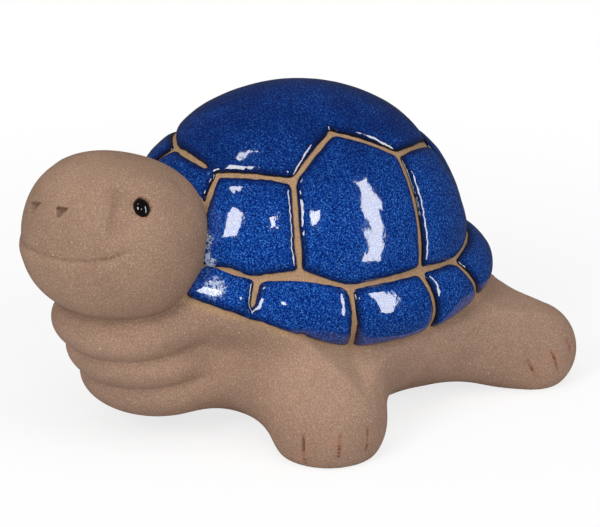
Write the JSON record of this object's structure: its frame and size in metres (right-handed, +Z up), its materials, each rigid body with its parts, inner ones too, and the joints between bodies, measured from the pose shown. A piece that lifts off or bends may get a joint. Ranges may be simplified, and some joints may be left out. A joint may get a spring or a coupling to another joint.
{
  "type": "turtle figurine",
  "caption": "Standing turtle figurine of matte brown fired clay with thick blue glaze on its domed shell and rim, and black glazed eyes.",
  "frame": {"origin": "middle of the box that holds the figurine, on the ground plane that its belly and paws stand on", "axes": "+Z up, -Y the way the turtle faces, +X the turtle's left"},
  "size_m": [0.1578, 0.2108, 0.12],
  "materials": {
    "clay": "matte, fired, fine light specks",
    "blue_glaze": "glossy, mottled cobalt blue",
    "black_glaze": "glossy black"
  },
  "bodies": {
    "root": {"clay_body": "clay", "glaze_top": "blue_glaze", "glaze_front": "blue_glaze", "glaze_rear": "blue_glaze", "glaze_left_flank_1": "blue_glaze", "glaze_left_flank_2": "blue_glaze", "glaze_left_flank_3": "blue_glaze", "glaze_right_flank_1": "blue_glaze", "glaze_right_flank_2": "blue_glaze", "glaze_right_flank_3": "blue_glaze", "glaze_left_rim_1": "blue_glaze", "glaze_left_rim_2": "blue_glaze", "glaze_left_rim_3": "blue_glaze", "glaze_left_rim_4": "blue_glaze", "glaze_left_rim_5": "blue_glaze", "glaze_right_rim_1": "blue_glaze", "glaze_right_rim_2": "blue_glaze", "glaze_right_rim_3": "blue_glaze", "glaze_right_rim_4": "blue_glaze", "glaze_right_rim_5": "blue_glaze", "left_eye": "black_glaze", "right_eye": "black_glaze"}
  },
  "joints": []
}
